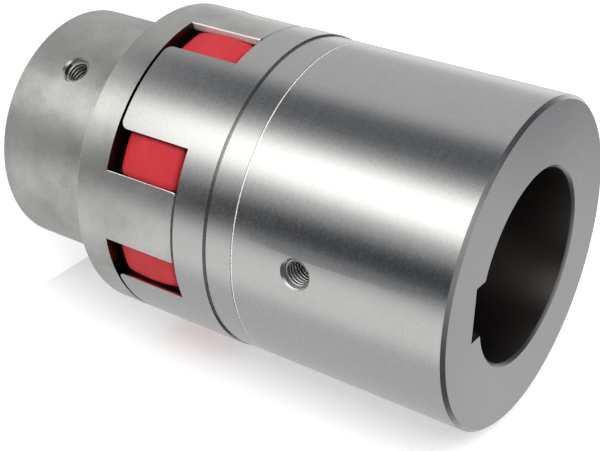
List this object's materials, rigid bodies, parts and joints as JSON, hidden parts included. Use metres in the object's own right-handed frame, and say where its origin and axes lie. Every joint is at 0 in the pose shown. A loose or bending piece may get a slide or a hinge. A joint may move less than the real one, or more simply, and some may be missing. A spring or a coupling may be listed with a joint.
{
  "type": "curved-jaw shaft coupling",
  "caption": "Curved-jaw shaft coupling standing on its small hub: a short flanged hub and a long plain hub with interlocking jaws around a red elastic spider.",
  "frame": {"origin": "centre of the small hub's end face, on the shaft axis", "axes": "+Z along the shaft axis towards the large hub; -Y out through the large hub's set-screw hole"},
  "size_m": [0.095, 0.095, 0.16],
  "materials": {
    "blasted_steel": "matte, finely mottled",
    "red_polyurethane": "satin",
    "turned_steel": "fine-turned, semi-gloss"
  },
  "bodies": {
    "root": {"small_hub": "blasted_steel", "spider": "red_polyurethane", "large_hub": "turned_steel"}
  },
  "joints": []
}
